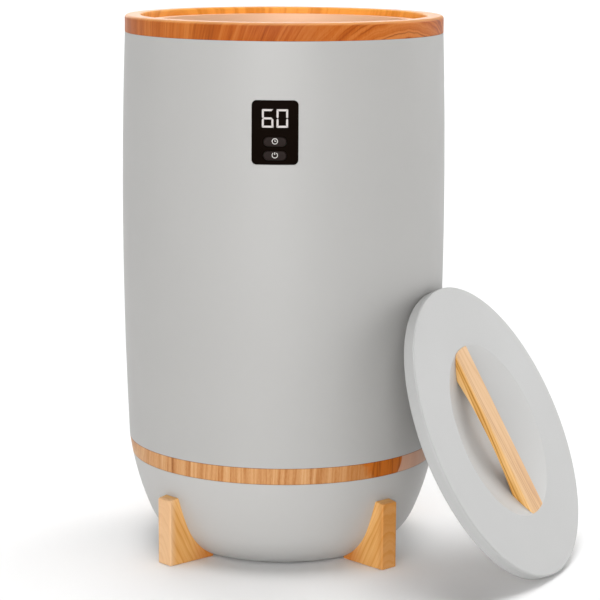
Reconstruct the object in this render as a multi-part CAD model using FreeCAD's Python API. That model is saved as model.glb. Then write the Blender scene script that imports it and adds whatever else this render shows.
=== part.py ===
import FreeCAD, Part
import math

V = FreeCAD.Vector

# Bucket towel warmer: a drum on four fins with a metal pot inside, and its lid leaning at the right.
# Millimetres and degrees. The axis of the drum is Z, the floor is z = 0 and the front is -Y.

# Heights of the drum, up from the floor
floor_gap = 2.5
band_bottom = 89.6
band_top = 105.6
rim_bottom = 492.4
rim_height = 16.0

# The drum's wall is one long arc from the band to the rim
rim_radius = 150.0
drum_taper = 1.5
wall_bulge = 4.0
shell_wall = 2.5
shell_flange = 14.0

# The bowl is two tangent arcs under the band, cut flat underneath
bowl_lean = 7.8
bowl_upper_arc = 274.0
bowl_upper_sweep = 15.3
bowl_flat_cut = 6.8
bowl_wall = 2.5
neck_wall = 2.5
neck_rise = 12.0
band_thickness = 2.8
band_clearance = 0.2

# Rim ring
rim_land = 15.5
rim_recess = 7.5
rim_round = 2.0

# Inner pot, its heaters and its insulation
pot_flange_width = 8.0
pot_flange_clearance = 0.8
pot_wall = 1.2
pot_clearance = 0.6
pot_floor = 98.0
pot_corner = 14.0
heater_thickness = 1.2
heater_rise = 34.0
heater_top_gap = 70.0
heater_split = 12.0
base_heater_margin = 10.5
base_heater_bore = 16.0
base_heater_thickness = 1.6
sleeve_thickness = 6.0
sleeve_gap = 2.0
sleeve_top_gap = 12.0
inner_clearance = 0.3
thermostat_radius = 8.0
thermostat_height = 10.0
blade_length = 7.0
fuse_radius = 2.0
fuse_length = 12.0
fuse_offset = 12.0

# Feet
foot_angles = {"foot_front_left": -45, "foot_front_right": 45, "foot_rear_right": 135, "foot_rear_left": -135}
foot_overhang = 0.5
foot_reach = 52.0
foot_thickness = 18.6
foot_height = 63.0
foot_top_rise = 1.5
foot_round = 1.6
foot_screw_heights = (48.0, 27.0)
foot_boss_radius = 6.0
foot_boss_depth = 10.0
foot_screw_bite = 9.0
pad_radius = 5.5
pad_thickness = 2.0
pad_stand = 0.5
pad_inset = 13.0

# Screws and their holes
screw_radius = 1.6
screw_head_radius = 3.0
screw_head_height = 2.0
screw_clearance = 0.1
small_screw_radius = 1.0
small_head_radius = 1.9
small_head_height = 1.4

# Shell posts and bowl lugs that the shell screws join
post_angles = (45, 135, 225, 315)
post_radius = 5.0
post_height = 24.0
lug_thickness = 4.0
head_clearance = 0.5
shell_screw_length = 18.0
rim_screw_length = 11.0

# Bottom cover with its vents and board posts
cover_margin = 14.0
cover_thickness = 2.5
cover_clearance = 0.3
cover_ledge = 10.0
ledge_thickness = 2.5
cover_screw_angles = (0, 90, 180, 270)
cover_boss_radius = 4.5
cover_boss_height = 9.0
vent_count = 16
vent_width = 3.0
vent_length = 16.0
vent_radius = 56.0
board_post_radius = 3.5
board_post_height = 8.0

# Power board and its parts
power_board_width = 78.0
power_board_depth = 54.0
power_board_thickness = 1.6
power_board_inset = 5.0
relay_size = (19.0, 15.5, 15.5)
terminal_size = (30.0, 11.0, 13.0)
capacitor_size = (17.5, 8.5, 14.0)
transformer_size = (22.0, 20.0, 18.0)
lead_radius = 1.5
lead_spacing = 18.0

# Supply cord gland at the rear of the bowl
gland_height = 50.0
gland_radius = 6.0
gland_bore = 3.6
gland_collar_radius = 9.5
gland_collar = 4.0
gland_pad_radius = 11.0
gland_stand = 5.2
gland_pad_depth = 18.0
gland_nut_radius = 9.5
gland_nut_height = 6.0
gland_clearance = 0.2

# Control panel
panel_drop = 80.0
panel_width = 41.2
panel_tall = 56.7
panel_corner = 4.2
panel_clearance = 0.25
digit_height = 16.3
digit_width = 10.2
digit_pitch = 13.0
digit_stroke = 1.75
digit_joint = 0.3
digit_rise = 15.8
button_width = 20.5
button_tall = 8.2
button_space = 4.1
button_proud = 0.5
button_clearance = 0.35
button_flange = 1.6
button_flange_thickness = 1.2
button_flange_gap = 1.2
button_travel = 0.8
button_stop_gap = 0.3
timer_button_drop = 8.2
housing_margin = 4.5
housing_wall = 2.0
housing_depth = 10.6
board_thickness = 1.6
digit_module_depth = 6.5
digit_module_margin = 2.4
switch_size = 6.0
switch_body = 3.6
plunger_radius = 1.7
corner_post = 5.0
board_screw_length = 8.0

# Flat ribbon cable from the control board down to the power board
ribbon_width = 14.0
ribbon_thickness = 1.2
ribbon_gap = 2.0
ribbon_plug = (18.0, 7.0, 9.0)

# Lid
lid_inset = 8.1
lid_edge = 11.1
lid_edge_round = 1.5
lid_back_round = 1.2
lid_wall = 2.5
dish_radius = 84.0
dish_depth = 22.0
dish_edge_round = 1.2
lid_lean = 26.2
lid_bearing = 66.1
lid_clearance = 0.4
plug_clearance = 3.0
plug_depth = 5.0
plug_shoulder = 31.5
plug_dome = 18.5
cover_skin = 2.0
cover_rise = 4.4
seal_width = 2.3
seal_height = 2.5
seal_drop = 1.0
lid_foam_margin = 7.0
lid_foam_gap = 5.5
lid_screw_count = 6
lid_screw_inset = 13.5
lid_boss_radius = 4.5
handle_width = 29.5
handle_tilt = 6.8
handle_proud = 0.2
handle_middle = 7.2
handle_arch = 3.4
handle_arch_inset = 26.0
handle_round = 1.5
handle_end_gap = 0.4
handle_seat_gap = 0.15
handle_screw_inset = 13.0
handle_pad_radius = 5.5
handle_pad_depth = 12.0
handle_screw_bite = 5.5

# Sizes that follow from the ones above
rim_top = rim_bottom + rim_height
band_top_radius = rim_radius - drum_taper
foot_radius = band_top_radius + foot_overhang
panel_height = rim_bottom - panel_drop
power_button_drop = timer_button_drop + button_tall + button_space
lid_radius = rim_radius - lid_inset
handle_arch_span = dish_radius - handle_arch_inset
handle_screw_place = dish_radius - handle_screw_inset
mouth_radius = rim_radius - rim_land
ledge_height = rim_top - rim_recess
pot_radius = mouth_radius - pot_flange_clearance - pot_flange_width - pot_wall
pot_outer = pot_radius + pot_wall
base_heater_radius = pot_radius - pot_corner - base_heater_margin
heater_bottom = pot_floor + heater_rise
heater_height = ledge_height - heater_top_gap - heater_bottom
heater_inner = pot_outer + inner_clearance
sleeve_inner = heater_inner + heater_thickness + inner_clearance
sleeve_outer = sleeve_inner + sleeve_thickness
neck_top = band_top + neck_rise
pot_underside = pot_floor - pot_wall


def save(name, shape):
    shape.exportStep("parts/" + name + ".step")


def polar(radius, angle, z=0.0):
    """A point at a bearing from the front, counted towards +X."""
    a = math.radians(angle)
    return V(radius * math.sin(a), -radius * math.cos(a), z)


def around_z(shape, angle):
    """A copy of a shape that was built at the front, turned to a bearing."""
    turned = shape.copy()
    turned.rotate(V(0, 0, 0), V(0, 0, 1), angle)
    return turned


def rod(radius, length, place, direction=V(0, 0, 1)):
    return Part.makeCylinder(radius, length, place, direction)


def block(width, depth, height, middle_x, middle_y, bottom):
    return Part.makeBox(width, depth, height, V(middle_x - width / 2, middle_y - depth / 2, bottom))


def ring(outer, inner, bottom, height):
    return rod(outer, height, V(0, 0, bottom)).cut(rod(inner, height, V(0, 0, bottom)))


def revolve(edges):
    """A solid turned about Z from the edges of a closed half outline in the XZ plane."""
    face = Part.Face(Part.Wire(Part.__sortEdges__(edges)))
    return face.revolve(V(0, 0, 0), V(0, 0, 1), 360)


def line(a, b):
    return Part.LineSegment(V(a[0], 0, a[1]), V(b[0], 0, b[1])).toShape()


def arc(a, middle, b):
    points = [V(p[0], 0, p[1]) for p in (a, middle, b)]
    return Part.Arc(*points).toShape()


def lines(*points):
    return [line(a, b) for a, b in zip(points, points[1:])]


def corner_middle(centre, radius, angle):
    a = math.radians(angle)
    return (centre[0] + radius * math.cos(a), centre[1] + radius * math.sin(a))


def screw(place, direction, length, radius=screw_radius, head=screw_head_radius, rise=screw_head_height):
    """A pan head screw: its head's seat is at place and its shank points along direction."""
    back = V(direction).multiply(-rise)
    return rod(radius, length, place, direction).fuse(rod(head, rise, place + back, direction))


# The drum's wall: centre and radius of its arc, from the chord and the bulge
chord_r = rim_radius - band_top_radius
chord_z = rim_bottom - band_top
half_chord = math.hypot(chord_r, chord_z) / 2
wall_arc = (half_chord ** 2 + wall_bulge ** 2) / (2 * wall_bulge)
wall_offset = wall_arc - wall_bulge
wall_centre_r = (rim_radius + band_top_radius) / 2 - wall_offset * chord_z / (2 * half_chord)
wall_centre_z = (rim_bottom + band_top) / 2 + wall_offset * chord_r / (2 * half_chord)


def wall_radius(z, inset=0.0):
    return wall_centre_r + math.sqrt((wall_arc - inset) ** 2 - (z - wall_centre_z) ** 2)


def wall_edge(low, high, inset=0.0):
    points = [(wall_radius(z, inset), z) for z in (low, (low + high) / 2, high)]
    return arc(*points)


def wall_skin(low, high, outer_inset, inner_inset):
    """The stretch of the drum's wall between two heights and two depths under its face."""
    outer = [(wall_radius(z, outer_inset), z) for z in (low, high)]
    inner = [(wall_radius(z, inner_inset), z) for z in (low, high)]
    return revolve([wall_edge(low, high, outer_inset), line(outer[1], inner[1]),
                    wall_edge(low, high, inner_inset), line(inner[0], outer[0])])


def wall_core(low, high, inset):
    """Everything inside the drum's wall between two heights."""
    edge = [(wall_radius(z, inset), z) for z in (low, high)]
    return revolve([wall_edge(low, high, inset)] + lines(edge[1], (0, high), (0, low), edge[0]))


# The bowl: centres and radii of its two arcs, measured from the horizontal
lean = math.radians(bowl_lean)
turn = math.radians(bowl_lean + bowl_upper_sweep)
upper_r = band_top_radius - bowl_upper_arc * math.cos(lean)
upper_z = band_top + bowl_upper_arc * math.sin(lean)
join_z = upper_z - bowl_upper_arc * math.sin(turn)
lower_arc = (join_z - floor_gap + bowl_flat_cut) / (1 - math.sin(turn))
lower_r = upper_r + (bowl_upper_arc - lower_arc) * math.cos(turn)
lower_z = upper_z - (bowl_upper_arc - lower_arc) * math.sin(turn)


def bowl_radius(z, inset=0.0):
    if z >= upper_z - (bowl_upper_arc - inset) * math.sin(turn):
        return upper_r + math.sqrt((bowl_upper_arc - inset) ** 2 - (z - upper_z) ** 2)
    return lower_r + math.sqrt((lower_arc - inset) ** 2 - (z - lower_z) ** 2)


def bowl_edges(low, high, inset=0.0):
    """The bowl's curve from a low height up to a high one, as its two arcs."""
    knee = upper_z - (bowl_upper_arc - inset) * math.sin(turn)
    edges = []
    for a, b in ((low, knee), (knee, high)):
        edges.append(arc(*[(bowl_radius(z, inset), z) for z in (a, (a + b) / 2, b)]))
    return edges


def bowl_core(low, high, inset=0.0):
    ends = [(bowl_radius(z, inset), z) for z in (low, high)]
    return revolve(bowl_edges(low, high, inset) + lines(ends[1], (0, high), (0, low), ends[0]))


neck_radius = bowl_radius(band_bottom) - band_thickness - band_clearance
post_centre = neck_radius - neck_wall - screw_head_radius - head_clearance
flat_radius = bowl_radius(floor_gap)
gland_seat = bowl_radius(gland_height) + gland_stand
cover_radius = flat_radius - cover_margin
ledge_height_low = floor_gap + cover_thickness


def make_shell():
    """Drum shell with a top flange under the rim, four screw posts and the panel's window."""
    shell = wall_skin(band_top, rim_bottom, 0, shell_wall)
    flange_outer = wall_radius(rim_bottom) - shell_wall / 2
    flange = ring(flange_outer, rim_radius - shell_flange, rim_bottom - shell_wall, shell_wall)
    shell = shell.fuse(flange)
    inside = wall_core(band_top, rim_bottom, shell_wall / 2)
    for angle in post_angles:
        place = polar(post_centre, angle, neck_top)
        web = block(post_radius, band_top_radius - post_centre, post_height, 0,
                    -(band_top_radius + post_centre) / 2, neck_top)
        post = rod(post_radius, post_height, place).fuse(around_z(web, angle)).common(inside)
        shell = shell.fuse(post)
    for angle in post_angles:
        hole = rod(screw_radius + screw_clearance, shell_screw_length, polar(post_centre, angle, neck_top))
        shell = shell.cut(hole)
        shell = shell.cut(rod(screw_radius + screw_clearance, shell_wall,
                              polar(rim_screw_circle, angle, rim_bottom - shell_wall)))
    return shell.cut(panel_prism(panel_clearance))


def make_rim():
    """Solid wooden ring with a recess for the lid's plug and a ledge for the pot's flange."""
    r, t = rim_radius, rim_top
    outer_round = (r - rim_round, t - rim_round)
    inner_round = (mouth_radius + rim_round, t - rim_round)
    bore = pot_outer + pot_clearance
    edges = lines((r, rim_bottom), (r, t - rim_round))
    edges.append(arc((r, t - rim_round), corner_middle(outer_round, rim_round, 45), (r - rim_round, t)))
    edges += lines((r - rim_round, t), (mouth_radius + rim_round, t))
    edges.append(arc((mouth_radius + rim_round, t), corner_middle(inner_round, rim_round, 135),
                     (mouth_radius, t - rim_round)))
    edges += lines((mouth_radius, t - rim_round), (mouth_radius, ledge_height), (bore, ledge_height),
                   (bore, rim_bottom), (r, rim_bottom))
    rim = revolve(edges)
    for angle in post_angles:
        rim = rim.cut(rod(screw_radius + screw_clearance, rim_screw_length - shell_wall,
                          polar(rim_screw_circle, angle, rim_bottom)))
    return rim


def make_band():
    """Thin wooden hoop round the bowl's neck, flush with the bowl's curve."""
    inner = neck_radius + band_clearance
    ends = [(bowl_radius(z), z) for z in (band_bottom, band_top)]
    middle = (band_bottom + band_top) / 2
    face = arc(ends[0], (bowl_radius(middle), middle), ends[1])
    return revolve([face] + lines(ends[1], (inner, band_top), (inner, band_bottom), ends[0]))


def make_bowl():
    """Lower bowl with its neck, screw lugs, foot bosses, gland pad and the seat of the bottom cover."""
    bowl = bowl_core(floor_gap, band_bottom).cut(bowl_core(floor_gap + bowl_wall, band_bottom, bowl_wall))
    neck_bottom = band_bottom - neck_wall
    shoulder = ring(bowl_radius(band_bottom) - bowl_wall / 2, neck_radius - neck_wall, neck_bottom, neck_wall)
    bowl = bowl.fuse(shoulder)
    bowl = bowl.fuse(ring(neck_radius, neck_radius - neck_wall, neck_bottom, neck_top - neck_bottom))
    for angle in post_angles:
        lug = rod(post_radius, lug_thickness, polar(post_centre, angle, neck_top - lug_thickness))
        bowl = bowl.fuse(lug.common(rod(neck_radius, neck_top, V(0, 0, 0))))
    ledge = ring(cover_radius + cover_ledge / 2, cover_radius - cover_ledge, ledge_height_low,
                 ledge_thickness)
    bowl = bowl.fuse(ledge)
    for angle in cover_screw_angles:
        bowl = bowl.fuse(rod(cover_boss_radius, cover_boss_height,
                             polar(cover_screw_circle, angle, ledge_height_low)))
    core = bowl_core(floor_gap, band_bottom, bowl_wall / 2)
    for angle in foot_angles.values():
        for z in foot_screw_heights:
            boss = rod(foot_boss_radius, foot_boss_depth + foot_boss_radius, V(0, -foot_boss_face(z), z),
                       V(0, -1, 0))
            bowl = bowl.fuse(around_z(boss, angle).common(core))
    pad = rod(gland_pad_radius, gland_pad_depth, V(0, gland_seat - gland_pad_depth, gland_height), V(0, 1, 0))
    bowl = bowl.fuse(pad)
    bowl = bowl.cut(rod(cover_radius + cover_clearance, cover_thickness, V(0, 0, floor_gap)))
    for angle in post_angles:
        bowl = bowl.cut(rod(screw_radius + screw_clearance, lug_thickness,
                            polar(post_centre, angle, neck_top - lug_thickness)))
    for angle in cover_screw_angles:
        bowl = bowl.cut(rod(screw_radius + screw_clearance, cover_boss_height,
                            polar(cover_screw_circle, angle, ledge_height_low)))
    for angle in foot_angles.values():
        for z in foot_screw_heights:
            hole = rod(screw_radius + screw_clearance, foot_radius, V(0, -foot_boss_face(z), z), V(0, -1, 0))
            bowl = bowl.cut(around_z(hole, angle))
    reach = gland_seat + gland_collar
    return bowl.cut(rod(gland_radius + gland_clearance, reach, V(0, 0, gland_height), V(0, 1, 0)))


def foot_boss_face(z):
    """Distance from the axis to the flat inner face of a foot's screw boss."""
    return bowl_radius(z) - foot_boss_depth


def make_foot(angle):
    """A wooden fin that follows the bowl's underside, with a slanted top and a pocket for its pad."""
    inner = foot_radius - foot_reach
    top = foot_height + foot_top_rise
    seat = bowl_radius(top)
    profile = [V(0, -foot_radius, pad_stand), V(0, -foot_radius, foot_height), V(0, -seat, top),
               V(0, -inner, top), V(0, -inner, pad_stand), V(0, -foot_radius, pad_stand)]
    fin = Part.Face(Part.makePolygon(profile)).extrude(V(foot_thickness, 0, 0))
    fin.translate(V(-foot_thickness / 2, 0, 0))
    outer = [e for e in fin.Edges if abs(e.BoundBox.YMin + foot_radius) < foot_round / 100
             and e.BoundBox.YMax < foot_round / 100 - seat and e.BoundBox.ZMax > foot_height / 2]
    fin = fin.makeFillet(foot_round, outer)
    fin = fin.cut(bowl_core(floor_gap, band_bottom))
    for place in pad_places():
        fin = fin.cut(rod(pad_radius, pad_thickness - pad_stand, place + V(0, 0, pad_stand)))
    for z in foot_screw_heights:
        fin = fin.cut(rod(screw_radius + screw_clearance, foot_screw_length(), V(0, -foot_boss_face(z), z),
                          V(0, -1, 0)))
    return around_z(fin, angle)


def foot_screw_length():
    return foot_boss_depth + foot_screw_bite


def pad_places():
    middle = foot_radius - foot_reach / 2
    return [V(0, -middle - pad_inset, 0), V(0, -middle + pad_inset, 0)]


def make_pads():
    pads = []
    for angle in foot_angles.values():
        pads += [around_z(rod(pad_radius, pad_thickness, place), angle) for place in pad_places()]
    return Part.Compound(pads)


def make_foot_screws():
    screws = []
    for angle in foot_angles.values():
        for z in foot_screw_heights:
            one = screw(V(0, -foot_boss_face(z), z), V(0, -1, 0), foot_screw_length())
            screws.append(around_z(one, angle))
    return Part.Compound(screws)


def make_cover():
    """Round bottom cover with radial vents, screw holes and posts for the power board."""
    cover = rod(cover_radius, cover_thickness, V(0, 0, floor_gap))
    for x, y in board_corners():
        cover = cover.fuse(rod(board_post_radius, board_post_height, V(x, y, ledge_height_low)))
    for k in range(vent_count):
        slot = block(vent_width, vent_length, cover_thickness, 0, -vent_radius, floor_gap)
        cover = cover.cut(around_z(slot, (k + 0.5) * 360 / vent_count))
    for angle in cover_screw_angles:
        cover = cover.cut(rod(screw_radius + screw_clearance, cover_thickness,
                              polar(cover_screw_circle, angle, floor_gap)))
    for x, y in board_corners():
        cover = cover.cut(rod(screw_radius, board_post_height, V(x, y, ledge_height_low)))
    return cover


def board_corners():
    x = power_board_width / 2 - power_board_inset
    y = power_board_depth / 2 - power_board_inset
    return [(-x, -y), (x, -y), (x, y), (-x, y)]


def make_power_board():
    board = block(power_board_width, power_board_depth, power_board_thickness, 0, 0, board_seat)
    for x, y in board_corners():
        board = board.cut(rod(screw_radius + screw_clearance, power_board_thickness, V(x, y, board_seat)))
    return board


def on_board(size, x, y):
    return block(size[0], size[1], size[2], x, y, board_top)


def make_pot():
    """Deep drawn pot with a rounded floor corner and a flat flange that hangs on the rim's ledge."""
    flange = mouth_radius - pot_flange_clearance
    top = ledge_height + pot_wall
    inner_corner = (pot_radius - pot_corner, pot_floor + pot_corner)
    outer_corner = pot_corner + pot_wall
    edges = lines((0, pot_floor), (pot_radius - pot_corner, pot_floor))
    edges.append(arc((pot_radius - pot_corner, pot_floor), corner_middle(inner_corner, pot_corner, -45),
                     (pot_radius, pot_floor + pot_corner)))
    edges += lines((pot_radius, pot_floor + pot_corner), (pot_radius, top), (flange, top),
                   (flange, ledge_height), (pot_outer, ledge_height), (pot_outer, pot_floor + pot_corner))
    edges.append(arc((pot_outer, pot_floor + pot_corner), corner_middle(inner_corner, outer_corner, -45),
                     (pot_radius - pot_corner, pot_underside)))
    edges += lines((pot_radius - pot_corner, pot_underside), (0, pot_underside), (0, pot_floor))
    return revolve(edges)


def make_wall_heater():
    """Flexible heater wrapped round the pot, open along a narrow strip at the rear."""
    band = ring(heater_inner + heater_thickness, heater_inner, heater_bottom, heater_height)
    return band.cut(block(heater_split, sleeve_outer, heater_height, 0, sleeve_outer, heater_bottom))


def make_sleeve():
    bottom = neck_top + post_height + sleeve_gap
    return ring(sleeve_outer, sleeve_inner, bottom, rim_bottom - shell_wall - sleeve_top_gap - bottom)


def make_thermostat():
    """Snap disc thermostat against the pot's floor, with its two blade terminals."""
    body = rod(thermostat_radius, thermostat_height, V(0, 0, pot_underside - thermostat_height))
    for side in (-1, 1):
        blade = block(thermostat_radius / 2, pot_wall, blade_length, side * thermostat_radius / 2, 0,
                      pot_underside - thermostat_height - blade_length)
        body = body.fuse(blade)
    return body


def make_leads():
    """Two heater wires that rise from the terminal block to the floor heater."""
    foot = board_top + terminal_size[2]
    length = pot_underside - base_heater_thickness - foot
    return Part.Compound([rod(lead_radius, length, V(side * lead_spacing / 2, terminal_place()[1], foot))
                          for side in (-1, 1)])


def terminal_place():
    return (0.0, power_board_depth / 2 - terminal_size[1])


def make_gland():
    """Cord gland: a bored sleeve through the bowl's rear pad with a tapered collar outside."""
    inner_end = gland_seat - gland_pad_depth - gland_nut_height - gland_collar / 2
    sleeve = rod(gland_radius, gland_seat - inner_end, V(0, inner_end, gland_height), V(0, 1, 0))
    collar = Part.makeCone(gland_collar_radius, gland_radius, gland_collar, V(0, gland_seat, gland_height),
                           V(0, 1, 0))
    reach = gland_seat + gland_collar
    return sleeve.fuse(collar).cut(rod(gland_bore, reach, V(0, 0, gland_height), V(0, 1, 0)))


def make_gland_nut():
    start = gland_seat - gland_pad_depth - gland_nut_height
    corners = []
    for k in range(7):
        a = math.radians(60 * k)
        corners.append(V(gland_nut_radius * math.cos(a), start,
                         gland_height + gland_nut_radius * math.sin(a)))
    nut = Part.Face(Part.makePolygon(corners)).extrude(V(0, gland_nut_height, 0))
    return nut.cut(rod(gland_radius + gland_clearance, gland_nut_height, V(0, start, gland_height),
                       V(0, 1, 0)))


# Control panel, built on the front of the drum and cut to the drum's curve
panel_face = wall_radius(panel_height)
housing_front = panel_face - shell_wall
board_front = housing_front - housing_depth
flange_front = housing_front - button_flange_gap
panel_low = panel_height - panel_tall
panel_high = panel_height + panel_tall


def prism(edges):
    """A bar along Y through the front wall, from a closed outline in the XZ plane."""
    face = Part.Face(Part.Wire(Part.__sortEdges__(edges)))
    bar = face.extrude(V(0, -panel_face, 0))
    bar.translate(V(0, -panel_face / 2, 0))
    return bar


def rounded(width, tall, corner, middle_z):
    """Edges of a rectangle with rounded corners, centred on the panel's upright."""
    x, z = width / 2, tall / 2
    edges = []
    for quarter, (sx, sz) in enumerate(((1, 1), (-1, 1), (-1, -1), (1, -1))):
        centre = (sx * (x - corner), middle_z + sz * (z - corner))
        start, middle, end = [corner_middle(centre, corner, 90 * quarter + a) for a in (0, 45, 90)]
        edges.append(arc(start, middle, end))
    for sz in (-1, 1):
        if x > corner:
            edges.append(line((corner - x, middle_z + sz * z), (x - corner, middle_z + sz * z)))
    for sx in (-1, 1):
        if z > corner:
            edges.append(line((sx * x, middle_z + corner - z), (sx * x, middle_z + z - corner)))
    return edges


def panel_prism(grow=0.0):
    return prism(rounded(panel_width + 2 * grow, panel_tall + 2 * grow, panel_corner + grow, panel_height))


def pill_prism(middle_z, grow=0.0):
    tall = button_tall + 2 * grow
    return prism(rounded(button_width + 2 * grow, tall, tall / 2, middle_z))


def digit_bars(segments, middle_x):
    """Light bars of one seven segment digit, mitred at its corners and pointed at its middle."""
    x, z, stroke, gap = digit_width / 2, digit_height / 2, digit_stroke, digit_joint / 2
    half = stroke / 2
    cap = [(gap - x, z), (x - gap, z), (x - stroke - gap, z - stroke), (stroke + gap - x, z - stroke)]
    side = [(x, z - gap), (x, half + gap), (x - half, gap), (x - stroke, half + gap),
            (x - stroke, z - stroke - gap)]
    bar = [(x - half - gap, 0), (x - stroke - gap, half), (stroke + gap - x, half), (half + gap - x, 0),
           (stroke + gap - x, -half), (x - stroke - gap, -half)]
    forms = {"a": (cap, 1, 1), "b": (side, 1, 1), "c": (side, 1, -1), "d": (cap, 1, -1),
             "e": (side, -1, -1), "f": (side, -1, 1), "g": (bar, 1, 1)}
    middle_z = panel_height + panel_tall / 2 - digit_rise
    bars = []
    for name in segments:
        form, turn_x, turn_z = forms[name]
        outline = [(middle_x + turn_x * px, middle_z + turn_z * pz) for px, pz in form]
        bars.append(prism(lines(*outline, outline[0])))
    return bars


def all_digit_bars():
    return digit_bars("acdefg", -digit_pitch / 2) + digit_bars("abcdef", digit_pitch / 2)


def make_lens():
    """Smoked panel, flush with the drum, with openings for the light bars and the two buttons."""
    lens = wall_skin(panel_low, panel_high, 0, shell_wall).common(panel_prism())
    for bar in all_digit_bars():
        lens = lens.cut(bar)
    for drop in (timer_button_drop, power_button_drop):
        lens = lens.cut(pill_prism(panel_height - drop, button_clearance))
    return lens


def make_light_bars():
    skin = wall_skin(panel_low, panel_high, 0, shell_wall)
    return Part.Compound([skin.common(bar) for bar in all_digit_bars()])


def make_button(drop):
    """A pill shaped key with a retaining flange behind the lens."""
    z = panel_height - drop
    key = wall_core(panel_low, panel_high, -button_proud).common(pill_prism(z))
    low = panel_height - panel_tall / 2
    behind = flange_front - button_flange_thickness
    inside = block(panel_width, panel_face, panel_tall, 0, panel_face / 2 - flange_front, low)
    trimmed = block(panel_width, panel_face, panel_tall, 0, panel_face / 2 - behind, low)
    flange = pill_prism(z, button_flange).common(inside).cut(trimmed)
    return key.cut(trimmed).fuse(flange)


def make_housing():
    """Frame behind the window: it is shaped to the wall's inner face and has a post in each corner."""
    width = panel_width + 2 * housing_margin
    tall = panel_tall + 2 * housing_margin
    depth = panel_face - board_front
    outer = block(width, depth, tall, 0, -board_front - depth / 2, panel_height - tall / 2)
    hollow = block(width - 2 * housing_wall, depth, tall - 2 * housing_wall, 0, -board_front - depth / 2,
                   panel_height - tall / 2 + housing_wall)
    frame = outer.cut(hollow)
    for x, z in housing_corners():
        post = block(corner_post, depth, corner_post, x, -board_front - depth / 2, z - corner_post / 2)
        frame = frame.fuse(post)
    frame = frame.common(wall_core(panel_low, panel_high, shell_wall))
    for x, z in housing_corners():
        frame = frame.cut(rod(small_screw_radius, board_screw_length - board_thickness,
                              V(x, -board_front, z), V(0, -1, 0)))
    return frame


def housing_corners():
    x = panel_width / 2 + housing_margin - corner_post / 2
    z = panel_tall / 2 + housing_margin - corner_post / 2
    return [(sx * x, panel_height + sz * z) for sx in (-1, 1) for sz in (-1, 1)]


def make_control_board():
    width = panel_width + 2 * housing_margin
    tall = panel_tall + 2 * housing_margin
    board = block(width, board_thickness, tall, 0, board_thickness / 2 - board_front, panel_height - tall / 2)
    for x, z in housing_corners():
        board = board.cut(rod(small_screw_radius + screw_clearance, board_thickness,
                              V(x, board_thickness - board_front, z), V(0, -1, 0)))
    return board


def make_board_screws():
    return Part.Compound([screw(V(x, board_thickness - board_front, z), V(0, -1, 0), board_screw_length,
                                small_screw_radius, small_head_radius, small_head_height)
                          for x, z in housing_corners()])


def make_digit_module():
    width = digit_pitch + digit_width + 2 * digit_module_margin
    tall = digit_height + 2 * digit_module_margin
    bottom = panel_height + panel_tall / 2 - digit_rise - tall / 2
    return block(width, digit_module_depth, tall, 0, -board_front - digit_module_depth / 2, bottom)


def make_switches():
    """Two tall push switches; a plunger stops just short of a key that is fully pressed."""
    tip = flange_front - button_flange_thickness - button_travel - button_stop_gap
    switches = []
    for drop in (timer_button_drop, power_button_drop):
        z = panel_height - drop
        body = block(switch_size, switch_body, switch_size, 0, -board_front - switch_body / 2,
                     z - switch_size / 2)
        plunger = rod(plunger_radius, tip - board_front, V(0, -board_front, z), V(0, -1, 0))
        switches.append(body.fuse(plunger))
    return Part.Compound(switches)


def make_ribbon():
    """Flat cable: down the inside of the wall to the neck, then slanting to its plug on the power board."""
    half = ribbon_thickness / 2
    top = V(0, half - board_front, panel_height - panel_tall / 2 - housing_margin)
    bend = V(0, half + neck_wall + ribbon_gap - neck_radius, band_top)
    end = V(0, ribbon_plug_place()[1], board_top + ribbon_plug[2])
    upper = (bend - top).normalize()
    lower = (end - bend).normalize()
    side = V(0, -upper.z, upper.y)
    miter = (side + V(0, -lower.z, lower.y)).normalize()
    miter.multiply(half / miter.dot(side))
    level = V(0, half / abs(upper.z), 0)
    foot = V(0, half / abs(lower.z), 0)
    points = [top - level, bend - miter, end - foot, end + foot, bend + miter, top + level]
    sheet = Part.Face(Part.makePolygon(points + points[:1])).extrude(V(ribbon_width, 0, 0))
    sheet.translate(V(-ribbon_width / 2, 0, 0))
    return sheet


def ribbon_plug_place():
    return (0.0, ribbon_plug[1] - power_board_depth / 2)


# Lid, built face up with its face at z = 0 and then leaned against the drum
dish_sphere = (dish_radius ** 2 + dish_depth ** 2) / (2 * dish_depth)
dish_centre = dish_sphere - dish_depth
plug_radius = mouth_radius - plug_clearance
plug_bottom = -lid_edge - plug_depth
dome_edge = plug_radius - plug_shoulder


def dish_under(radius, grow=0.0):
    """Height of the dish's surface, or of a surface under it, at a distance from the lid's centre."""
    return dish_centre - math.sqrt((dish_sphere + grow) ** 2 - radius ** 2)


def lid_screw_places():
    radius = plug_radius - lid_screw_inset
    return [polar(radius, (k + 0.5) * 360 / lid_screw_count) for k in range(lid_screw_count)]


def handle_ends():
    a = math.radians(handle_tilt)
    return [V(-side * handle_screw_place * math.sin(a), side * handle_screw_place * math.cos(a), 0)
            for side in (-1, 1)]


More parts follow.
